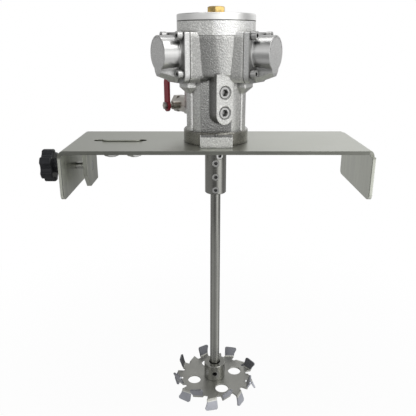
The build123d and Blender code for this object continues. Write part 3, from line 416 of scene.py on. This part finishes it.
def pressed_blade(shade, blued, level):
    """Sheet stainless with a mill grain; bent teeth are bluish, with a painted highlight along their bends
    and painted shade on the upturned rear ones.
    """
    finish = Finish("pressed_blade")
    here = finish.place()
    _, y, z = finish.parts(here)
    grain = finish.noise(finish.place(scale=(900, 160, 300)), 1.0, 3.0)
    stain = finish.noise(here, 45.0, 4.0, 0.65)
    rise = z - level
    off = abs(rise)
    bent = off.over(TOOTH_RISE, 0.0014)
    fold_highlight = off.over(BEND_START, 0.0005) * off.under(BEND_END, 0.0007)
    rear_shade = rise.over(TOOTH_RISE, 0.0014) * y.over(REAR_TEETH, 0.030)
    # Painted highlight along the tooth bends and painted shade on the upturned rear teeth
    bright = (0.62 + grain * 0.2 + stain * 0.5) * (1.0 + fold_highlight * 0.5 - rear_shade * 0.5)
    return finish.surface(Base_Color=finish.tint(finish.blend(bent, shade, blued), bright), Metallic=1.0,
                          Roughness=0.26 + stain * 0.16 + grain * 0.06,
                          Normal=finish.relief(grain, 0.00004, 0.5, 0.0004))


def peened(finish, here, cell=0.00115):
    """Height of a shot peened casting: soft dimples of a mean width."""
    dimples = finish.cells(here, 1.0 / cell, "SMOOTH_F1")
    coarse = finish.noise(here, 0.9 / cell, 2.0, 0.5, 0.6)
    fine = finish.noise(here, 2.4 / cell, 2.0, 0.5)
    return dimples * 0.6 + coarse * 0.5 + fine * 0.25


def cast_body(shade, foot):
    """Motor casing: peened casting, smoother on its column, with a machined ring at its foot. It has painted
    light by zone: painted shade on the column's flat and the front panel, painted highlights on the boss,
    the lug, the lower column and the valve chamber.
    """
    finish = Finish("cast_body")
    here = finish.place()
    x, y, z = finish.parts(here)
    radius = from_axis(x, y)
    ring = z.under(RING_TOP, 0.0006) * radius.under(RING_OUTSIDE, 0.0003) * radius.over(RING_INSIDE, 0.0010)
    lug = y.under(LUG_FACE, 0.0004)
    boss = (x * cos(BOSS_ANGLE) + y * sin(BOSS_ANGLE)).over(BOSS_FACE, 0.0010) * z.over(BOSS_FOOT, 0.0020)
    shaft = z.under(DRUM_FOOT, 0.0060) * (1.0 - boss) * (1.0 - lug)
    flat = shaft * abs(x).under(FLAT_SIDE, 0.0010) * y.under(FLAT_FACE, 0.0025)
    panel = z.over(PANEL_FOOT, 0.0060) * z.under(CHAMBER_FOOT, 0.0060)
    panel = panel * abs(x).under(PANEL_SIDE, 0.0030) * y.under(PANEL_FACE, 0.0030)
    chamber = z.over(CHAMBER_FOOT, 0.0040)
    height = peened(finish, here)
    sparkle = height.ease(0.5, 0.85)
    cloud = finish.noise(here, 60.0, 2.0)
    specks = finish.cells(here, 620.0).ease(0.32, 0.12)
    blotch = finish.noise(here, 130.0, 4.0, 0.65)
    rings = finish.noise(finish.place(scale=(1, 1, 1400)), 1.0, 3.0)
    # Painted shade where the casing's surfaces close in
    hollow_shade = finish.painted_hollow_shade(0.006, 0.25)
    # Painted highlights on the boss and the lug, whose pits are darker
    pale = 0.66 + sparkle * (0.34 - flat * 0.22) + cloud * 0.12 + boss * 0.27 + lug * (0.22 - specks * 0.5)
    # Painted light by zone: lighter lower column and valve chamber, painted shade on the column's flat and
    # the panel
    zone_light = 1.0 + shaft * 0.2 + chamber * 0.32 - flat * 0.48 - panel * 0.24
    metal = finish.tint(shade, pale * zone_light * hollow_shade)
    machined = finish.tint(foot, (0.25 + blotch * 0.75 + rings * 0.1) * hollow_shade)
    rough = (0.34 - sparkle * 0.06 - flat * 0.04 + lug * 0.1) * (1.0 - ring) + (0.2 + blotch * 0.14) * ring
    peening = height * (1.0 - ring) * (1.0 - shaft * 0.55 - flat * 0.2 - panel * 0.3)
    turning = (blotch * 0.25 + rings * 0.08) * ring
    return finish.surface(Base_Color=finish.blend(ring, metal, machined), Metallic=1.0, Roughness=rough,
                          Normal=finish.relief(peening + turning - specks * lug * 0.8, 0.0007, 1.0, 0.0009))


def cylinder_head(shade, side):
    """Head of one cylinder: turned on its round cap and root, cast on its flange, wedge and end, with
    painted shade on the flange's seat, the duct, the wedge's flanks and the root, and painted light arcs
    round the root.
    """
    finish = Finish("cylinder_head_" + side)
    angle = radians(BORES[side])
    here = finish.place(centre=(0, 0, BORE_HEIGHT))
    x, y, z = finish.parts(here)
    along = x * cos(angle) + y * sin(angle)
    across = y * cos(angle) - x * sin(angle)
    radius = from_axis(across, z)
    root = along.over(ROOT_START, 0.0003) * along.under(ROOT_END, 0.0004) * radius.under(ROOT_RADIUS, 0.0010)
    tube = along.over(TUBE_START, 0.0003) * along.under(TUBE_END, 0.0002) * z.over(TUBE_FOOT, 0.0010)
    tube = tube * radius.over(TUBE_INSIDE, 0.0003) * radius.under(TUBE_OUTSIDE, 0.00005)
    turned = root.maths("MAXIMUM", tube)
    rim = along.over(END_FACE, 0.0003) * radius.over(RIM_RADIUS, 0.0007) * z.over(RIM_FOOT, 0.0080)
    seat = along.over(SEAT_START, 0.0006) * along.under(SEAT_END, 0.0010) * radius.over(SEAT_RADIUS, 0.0010)
    wedge = along.over(WEDGE_START, 0.0013)
    duct = wedge * z.under(DUCT_TOP, 0.0030)
    flank = wedge * z.under(WEDGE_TOP, 0.0035) * z.over(WEDGE_SHOULDER, 0.0025)
    flank = flank * along.under(END_FACE, 0.0003)
    height = peened(finish, here, 0.0011)
    sparkle = height.ease(0.5, 0.85)
    cloud = finish.noise(here, 60.0, 2.0)
    chips = finish.noise(here, 650.0, 3.0, 0.7).ease(0.48, 0.60)
    # Rings from the lathe: fine along the bore and long across it
    turning = finish.place(scale=(cos(angle) ** 2 * 1500 + 20, sin(angle) ** 2 * 1500 + 20, 20))
    rings = finish.noise(turning, 1.0, 3.0)
    circles = radius.wave(5200.0) * 0.5 + 0.5
    arcs = radius.wave(2600.0).ease(0.6, 1.0) * root
    # Painted shade where the head's surfaces close in
    hollow_shade = finish.painted_hollow_shade(0.006, 0.25)
    # Chips darken the end's rim; painted shade on the flange's seat, the duct under the tube and the wedge's
    # flanks
    chips_and_shade = (1.0 - rim * chips * 0.6) * (1.0 - seat * 0.42) * (1.0 - duct * 0.2) * (1.0 - flank * 0.4)
    cast = finish.tint(shade, (0.88 + sparkle * 0.22 + cloud * 0.1) * chips_and_shade * hollow_shade)
    # Painted shade on the root and the flanks, with painted light arcs round the root
    bright = (0.80 + rings * 0.18 + cloud * 0.1 - root * 0.35 + arcs * 0.4) * (1.0 - flank * 0.3) * hollow_shade
    lathe = finish.tint(shade, bright)
    rough = (0.42 - sparkle * 0.06) * (1.0 - turned) + (0.27 + rings * 0.1) * turned
    relief = height * (1.0 - turned) + rings * turned * 0.08 + circles * root * 0.05 + chips * rim * 0.3
    return finish.surface(Base_Color=finish.blend(turned, cast, lathe), Metallic=1.0, Roughness=rough,
                          Normal=finish.relief(relief, 0.00030, 0.8, 0.0006))


def turned_cover(shade):
    """Cover of the valve chamber, turned all over, with its colour lifted above the heads' as painted light.
    """
    finish = Finish("turned_cover")
    here = finish.place()
    x, y, _ = finish.parts(here)
    rings = finish.noise(finish.place(scale=(1, 1, 1600)), 1.0, 3.0)
    facing = from_axis(x, y).wave(9000.0) * 0.5 + 0.5
    cloud = finish.noise(here, 28.0, 4.0)
    grain = finish.noise(here, 900.0, 2.0)
    height = rings * 0.5 + facing * 0.2 + grain * 0.4
    return finish.surface(Base_Color=finish.tint(shade, 0.98 + rings * 0.2 + cloud * 0.24), Metallic=1.0,
                          Roughness=0.22 + rings * 0.1 + cloud * 0.12,
                          Normal=finish.relief(height, 0.00006, 0.6, 0.0006))


def threaded_steel(shade, height, root, crest):
    """Plated screw along X at a height, with painted shade between its thread's root and crest radii: darker
    towards the root.
    """
    finish = Finish("threaded_steel")
    _, y, z = finish.parts(finish.place(centre=(0, 0, height)))
    crown = from_axis(y, z).ease(root, crest)
    dirt = finish.noise(finish.place(), 400.0, 3.0)
    # Painted shade towards the thread's roots, lighter at its crests
    return finish.surface(Base_Color=finish.tint(shade, 0.6 + crown * 0.9 + dirt * 0.4), Metallic=1.0,
                          Roughness=0.22 + dirt * 0.16, Normal=finish.relief(dirt, 0.00004, 0.6, 0.0001))


def plated_steel(shade, name="plated_steel", rough=0.3):
    """Small screws and nuts: bright, with a faint mottle and painted shade in their sockets and crevices."""
    finish = Finish(name)
    here = finish.place()
    mottle = finish.noise(here, 380.0, 3.0)
    wear = finish.noise(here, 90.0, 4.0, 0.7)
    bright = (0.7 + mottle * 0.28 + wear * 0.3) * finish.painted_hollow_shade(0.004, 0.1)
    return finish.surface(Base_Color=finish.tint(shade, bright), Metallic=1.0,
                          Roughness=rough + mottle * 0.1 + wear * 0.08,
                          Normal=finish.relief(mottle, 0.00005, 0.5, 0.0003))


def bright_brass(shade):
    """Brass plug with brushed flats and darker stains."""
    finish = Finish("bright_brass")
    here = finish.place()
    lines = finish.noise(finish.place(scale=(200, 200, 1200)), 1.0, 3.0)
    stain = finish.noise(here, 160.0, 4.0, 0.65)
    dark = [part * 0.45 for part in shade]
    return finish.surface(Base_Color=finish.blend(stain.ease(0.38, 0.66), shade, dark), Metallic=1.0,
                          Roughness=0.16 + lines * 0.1 + stain * 0.12,
                          Normal=finish.relief(lines, 0.00005, 0.5, 0.0003))


def sintered_bronze(shade):
    """Porous bronze: fused beads."""
    finish = Finish("sintered_bronze")
    here = finish.place()
    beads = finish.cells(here, 1500.0)
    mottle = finish.noise(here, 300.0, 3.0)
    return finish.surface(Base_Color=finish.tint(shade, 1.15 - beads * 0.8 + mottle * 0.2), Metallic=1.0,
                          Roughness=0.42 + beads * 0.2,
                          Normal=finish.relief(1.0 - beads, 0.00025, 0.9, 0.0003))


def fibre_gasket(shade):
    """Matt fibre sheet."""
    finish = Finish("fibre_gasket")
    here = finish.place()
    fibre = finish.noise(here, 900.0, 4.0, 0.7)
    return finish.surface(Base_Color=finish.tint(shade, 0.7 + fibre * 0.8), Roughness=0.75 + fibre * 0.15,
                          Normal=finish.relief(fibre, 0.00008, 0.6, 0.0002))


def moulded_knob(shade):
    """Black plastic with a fine spark grain and rubbed high spots."""
    finish = Finish("moulded_knob")
    here = finish.place()
    grain = finish.noise(here, 1400.0, 3.0, 0.6)
    rub = finish.noise(here, 120.0, 3.0)
    return finish.surface(Base_Color=finish.tint(shade, 0.5 + rub * 0.9 + grain * 0.5),
                          Roughness=0.26 + grain * 0.16 + rub * 0.08, Specular_IOR_Level=0.35,
                          Normal=finish.relief(grain, 0.00008, 0.7, 0.0006))


def dipped_lever(shade):
    """Soft red dip coating."""
    finish = Finish("dipped_lever")
    here = finish.place()
    ripple = finish.noise(here, 220.0, 3.0)
    dirt = finish.noise(here, 500.0, 4.0, 0.7)
    return finish.surface(Base_Color=finish.tint(shade, 0.8 + ripple * 0.4 - dirt * 0.12),
                          Roughness=0.38 + dirt * 0.18, Coat_Weight=0.15,
                          Normal=finish.relief(ripple, 0.0001, 0.6, 0.0006))


def dress(material, *nodes):
    """Gives CAD nodes a material."""
    for name in nodes:
        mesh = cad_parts[name].data
        mesh.materials.clear()
        mesh.materials.append(material)


def turn_outline(shape, outline, height):
    """Turns an outline of places along X and radii round an axis along X at a height."""
    corners = [shape.verts.new((place, 0, height + radius)) for place, radius in outline]
    edges = [shape.edges.new(pair) for pair in zip(corners, corners[1:])]
    bmesh.ops.spin(shape, geom=corners + edges, cent=(0, 0, height), axis=(1, 0, 0), dvec=(0, 0, 0),
                   angle=2 * pi, steps=TURN_STEPS, use_merge=True, use_duplicate=False)


def wind_thread(shape, start, end, height, root, crest, pitch):
    """Winds a closed ridge with a triangular section round a screw along X."""
    flat = pitch / 8
    foot = root - pitch / 10
    section = ((0, foot), (pitch / 2 - flat / 2, crest), (pitch / 2 + flat / 2, crest), (pitch, foot))
    corners = [shape.verts.new((start + place, 0, height + radius)) for place, radius in section]
    face = shape.faces.new(corners)
    turns = (end - start) / pitch - 1
    steps = round(turns * TURN_STEPS)
    bmesh.ops.spin(shape, geom=corners + list(face.edges) + [face], cent=(0, 0, height), axis=(1, 0, 0),
                   dvec=(turns * pitch / steps, 0, 0), angle=2 * pi * turns, steps=steps,
                   use_merge=False, use_duplicate=False)


def made(shape, name, material):
    """Closes a shape's seams, turns its faces outwards and makes an object of it."""
    bmesh.ops.remove_doubles(shape, verts=shape.verts, dist=WELD)
    bmesh.ops.recalc_face_normals(shape, faces=shape.faces)
    mesh = bpy.data.meshes.new(name)
    shape.to_mesh(mesh)
    shape.free()
    mesh.materials.append(material)
    piece = bpy.data.objects.new(name, mesh)
    bpy.context.scene.collection.objects.link(piece)
    return piece


def each_side(kind):
    """Names of the nodes that each cylinder has."""
    return [f"{kind}_{side}" for side in BORES]


class MixerOperator(bpy.types.Operator):
    """Base of the mixer's operators."""

    bl_options = {"REGISTER", "UNDO"}


class MIXER_OT_plate(MixerOperator):
    """Finish the plate, the jaw and the strap"""

    bl_idname = "mixer.plate"
    bl_label = "Plate and jaw"

    def execute(self, context):
        sheet = brushed_sheet(context.scene.mixer_finishes.sheet)
        dress(sheet, "mount_plate", "clamp_jaw", "guide_strap")
        return {"FINISHED"}


class MIXER_OT_motor(MixerOperator):
    """Finish the casing, its heads and its cover"""

    bl_idname = "mixer.motor"
    bl_label = "Motor"

    def execute(self, context):
        finishes = context.scene.mixer_finishes
        dress(cast_body(finishes.cast, finishes.base), "motor_casing")
        for side in BORES:
            dress(cylinder_head(finishes.turned, side), "cylinder_cap_" + side)
        dress(turned_cover(finishes.turned), "top_cover")
        dress(fibre_gasket(finishes.gasket), "cover_gasket", "shaft_seal", *each_side("cap_gasket"))
        dress(bright_brass(finishes.brass), "top_plug")
        return {"FINISHED"}


class MIXER_OT_fasteners(MixerOperator):
    """Finish the screws, nuts and washers"""

    bl_idname = "mixer.fasteners"
    bl_label = "Fasteners"

    def execute(self, context):
        finishes = context.scene.mixer_finishes
        dress(plated_steel(finishes.plated), "cap_screws", "port_plugs", "coupling_screws", "motor_bolts",
              "motor_washers", "guide_washers", "guide_nuts", "lip_nut", "screw_retainer", "lever_nut")
        dress(plated_steel(finishes.blackened, "blackened_steel", 0.4), "cover_screws", "hub_screw")
        return {"FINISHED"}


class MIXER_OT_clamp_screw(MixerOperator):
    """Cut the thread of the clamp screw"""

    bl_idname = "mixer.clamp_screw"
    bl_label = "Clamp screw"

    def execute(self, context):
        finishes = context.scene.mixer_finishes
        thread = context.scene.mixer_thread
        low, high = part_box("clamp_screw")
        height = (low[2] + high[2]) / 2
        crest = (high[2] - low[2]) / 2
        root = crest - thread.depth
        shoulder = high[0] - thread.journal_length
        collar = shoulder - thread.collar
        outline = ((low[0], 0), (low[0], root), (collar, root), (collar, crest), (shoulder, crest),
                   (shoulder, thread.journal_radius), (high[0], thread.journal_radius), (high[0], 0))
        shape = bmesh.new()
        turn_outline(shape, outline, height)
        wind_thread(shape, low[0] + thread.pitch, collar, height, root, crest, thread.pitch)
        screw = made(shape, "threaded_clamp_screw", threaded_steel(finishes.plated, height, root, crest))
        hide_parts("clamp_screw")
        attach(screw, "knob")
        return {"FINISHED"}


class MIXER_OT_shaft_line(MixerOperator):
    """Finish the coupling, the rod, the hub and the disc"""

    bl_idname = "mixer.shaft_line"
    bl_label = "Shaft line"

    def execute(self, context):
        finishes = context.scene.mixer_finishes
        dress(turned_bar(finishes.bar), "mixing_rod", "coupling", "impeller_hub")
        low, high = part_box("impeller_disc")
        dress(pressed_blade(finishes.blade, finishes.tooth, (low[2] + high[2]) / 2), "impeller_disc")
        return {"FINISHED"}


class MIXER_OT_inside(MixerOperator):
    """Finish what runs inside the motor"""

    bl_idname = "mixer.inside"
    bl_label = "Inside"

    def execute(self, context):
        finishes = context.scene.mixer_finishes
        ground = turned_bar(finishes.ground, "ground_steel", 1800.0)
        dress(ground, "crankshaft", "rotary_valve", "valve_housing", "drive_ring", "valve_drive_pin",
              "lower_bearing_outer", "upper_bearing_outer", "lower_bearing_inner", "upper_bearing_inner",
              *each_side("cylinder_liner"), *each_side("piston_ring"))
        dress(turned_bar(finishes.turned, "piston_aluminium", 1200.0), *each_side("piston"))
        dress(sintered_bronze(finishes.bronze), "crank_bush", "exhaust_silencer")
        return {"FINISHED"}


class MIXER_OT_controls(MixerOperator):
    """Finish the hand knob and the hand valve"""

    bl_idname = "mixer.controls"
    bl_label = "Knob and valve"

    def execute(self, context):
        finishes = context.scene.mixer_finishes
        dress(moulded_knob(finishes.knob), "star_knob")
        dress(dipped_lever(finishes.lever), "valve_lever")
        dress(plated_steel(finishes.nickel, "plated_valve", 0.24), "inlet_valve_body", "valve_ball")
        return {"FINISHED"}


def area_lamp(name, place, size, power):
    """Soft rectangular lamp that points at the motor's foot."""
    light = bpy.data.lights.new(name, "AREA")
    light.shape = "RECTANGLE"
    light.size, light.size_y = size
    light.energy = power
    lamp = bpy.data.objects.new(name, light)
    bpy.context.scene.collection.objects.link(lamp)
    lamp.location = place
    lamp.rotation_euler = (Vector(LAMP_TARGET) - Vector(place)).to_track_quat("-Z", "Y").to_euler()


class MIXER_OT_stage(MixerOperator):
    """Make the floor, the backdrop, the lamps and the camera"""

    bl_idname = "mixer.stage"
    bl_label = "Stage"

    def execute(self, context):
        stage = context.scene.mixer_stage
        self.make_floor(stage)
        self.make_world(context.scene)
        for name, (place, size, power) in LAMPS.items():
            area_lamp(name, place, size, power)
        self.make_camera(context.scene, stage)
        return {"FINISHED"}

    @staticmethod
    def make_floor(stage):
        """Pale round floor that fades into the white backdrop."""
        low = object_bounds()[0][2] - stage.floor_gap
        mesh = bpy.data.meshes.new("floor")
        shape = bmesh.new()
        bmesh.ops.create_circle(shape, cap_ends=True, radius=stage.floor_radius, segments=FLOOR_SIDES)
        bmesh.ops.translate(shape, verts=shape.verts, vec=(0, 0, low))
        shape.to_mesh(mesh)
        shape.free()
        floor = bpy.data.objects.new("floor", mesh)
        bpy.context.scene.collection.objects.link(floor)
        finish = Finish("pale_floor")
        x, y, _ = finish.parts(finish.place())
        far = from_axis(x, y).ease(FADE_START, stage.floor_radius * FADE_END, FLOOR_WHITE, 1.0)
        round_shaft = finish.ramp(y.maths("ARCTAN2", x) / (2 * pi) + 0.5, FLOOR)
        seen = finish.rays("Camera") + (finish.rays("Glossy") + finish.rays("Transmission")) * round_shaft
        matt = finish.node("BsdfDiffuse", {}, {"Color": FLOOR_SHADE})
        glow = finish.node("Emission", {}, {"Color": (1, 1, 1), "Strength": 1.0})
        finish.close(finish.node("MixShader", {}, {0: seen * far, 1: matt, 2: glow}))
        mesh.materials.append(finish.material)
        floor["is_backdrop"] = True

    @staticmethod
    def make_world(scene):
        """White backdrop for the camera and behind the mixer; elsewhere a studio that differs by direction.

        x, y and z are those of the direction. The studio dims with height, most of all at the front,
        and a little light comes from straight below.
        """
        world = bpy.data.worlds.new("studio")
        scene.world = world
        finish = Finish("studio", world)
        x, y, z = finish.parts(finish.node("TexCoord", output="Generated"))
        turn = y.maths("ARCTAN2", x) / (2 * pi) + 0.5
        above = finish.ramp(turn, ABOVE) * z.ease(0.35, 0.75, 1.0, 0.4)
        above = above * (1.0 - y.ease(0.1, -0.3) * z.ease(0.12, 0.40, 0.0, 0.6))
        below = finish.ramp(turn, BELOW) * z.ease(-0.60, -0.40) + z.ease(-0.40, -0.60, 0.0, 0.3)
        horizon = z.ease(-0.11, 0.02)
        room = above * horizon + below * (1.0 - horizon)
        behind = y.ease(0.3, 0.8) * x.ease(-0.1, 0.3) * z.ease(-0.05, 0.1) * z.ease(0.5, 0.3)
        seen = finish.rays("Camera") + (finish.rays("Glossy") + finish.rays("Transmission")) * behind
        sockets = {"Color": (1, 1, 1), "Strength": seen + (1.0 - seen) * room}
        finish.close(finish.node("Background", {}, sockets), "OutputWorld")

    @staticmethod
    def make_camera(scene, stage):
        """Camera at the photograph's angle."""
        lens = bpy.data.cameras.new("camera")
        lens.lens = stage.focal
        lens.sensor_width = 36.0
        camera = bpy.data.objects.new("camera", lens)
        scene.collection.objects.link(camera)
        camera.location = (stage.camera_offset, -stage.camera_distance, stage.camera_height)
        camera.rotation_euler = (pi / 2 - stage.camera_pitch, 0, 0)
        scene.camera = camera
        scene.view_settings.view_transform = "Standard"


OPERATORS = (MIXER_OT_plate, MIXER_OT_motor, MIXER_OT_fasteners, MIXER_OT_clamp_screw, MIXER_OT_shaft_line,
             MIXER_OT_inside, MIXER_OT_controls, MIXER_OT_stage)


class MIXER_PT_panel(bpy.types.Panel):
    """Lists the mixer's operators and settings"""

    bl_idname = "MIXER_PT_panel"
    bl_label = "Drum mixer"
    bl_space_type = "VIEW_3D"
    bl_region_type = "UI"
    bl_category = "Mixer"

    def draw(self, context):
        for operator in OPERATORS:
            self.layout.operator(operator.bl_idname)
        for group in (context.scene.mixer_finishes, context.scene.mixer_thread, context.scene.mixer_stage):
            box = self.layout.box()
            for name in group.__annotations__:
                box.prop(group, name)


CLASSES = (MIXER_PG_finishes, MIXER_PG_thread, MIXER_PG_stage, *OPERATORS, MIXER_PT_panel)


def register():
    """Registers the classes and hangs the settings on the scene."""
    for cls in CLASSES:
        bpy.utils.register_class(cls)
    bpy.types.Scene.mixer_finishes = PointerProperty(type=MIXER_PG_finishes)
    bpy.types.Scene.mixer_thread = PointerProperty(type=MIXER_PG_thread)
    bpy.types.Scene.mixer_stage = PointerProperty(type=MIXER_PG_stage)


def unregister():
    """Undoes what register did."""
    del bpy.types.Scene.mixer_stage
    del bpy.types.Scene.mixer_thread
    del bpy.types.Scene.mixer_finishes
    for cls in reversed(CLASSES):
        bpy.utils.unregister_class(cls)


def main():
    """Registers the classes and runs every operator."""
    register()
    for operator in OPERATORS:
        group, name = operator.bl_idname.split(".")
        getattr(getattr(bpy.ops, group), name)()


if __name__ == "__main__":
    main()
